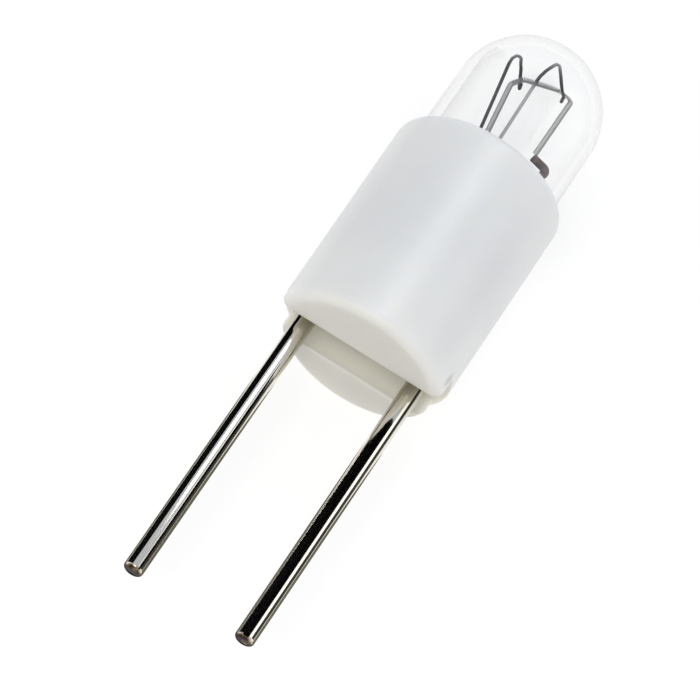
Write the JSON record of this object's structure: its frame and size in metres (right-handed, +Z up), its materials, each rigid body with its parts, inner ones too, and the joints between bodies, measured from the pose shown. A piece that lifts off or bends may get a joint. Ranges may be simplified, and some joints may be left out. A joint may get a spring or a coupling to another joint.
{
  "type": "bi-pin bulb",
  "caption": "Miniature clear-glass bi-pin filament lamp in a round white moulded base with straight round contact pins.",
  "frame": {"origin": "lamp axis at the base's seating face, midway between the pins", "axes": "+X along the lamp axis towards the glass dome, pins towards -X and side by side along Y, +Z up as it lies on its side"},
  "size_m": [0.0188, 0.0048, 0.0048],
  "materials": {
    "base_plastic": "satin moulded, white",
    "pin_plating": "bright nickel plate",
    "clear_glass": "clear, fire polished",
    "bead_glass": "clear fused glass",
    "lead_copper": "copper-clad wire, oxidised red",
    "support_wire": "dark drawn wire",
    "filament_wire": "coiled tungsten, grey",
    "solder": "dull tin solder",
    "cement": "matt, beige"
  },
  "bodies": {
    "root": {"base_sleeve": "base_plastic", "contact_pin_left": "pin_plating", "contact_pin_right": "pin_plating", "basing_cement": "cement", "solder_joint_left": "solder", "solder_joint_right": "solder", "glass_bulb": "clear_glass", "glass_bead": "bead_glass", "lead_wire_left": "lead_copper", "lead_wire_right": "lead_copper", "support_wire_left": "support_wire", "support_wire_right": "support_wire", "filament": "filament_wire"}
  },
  "joints": []
}
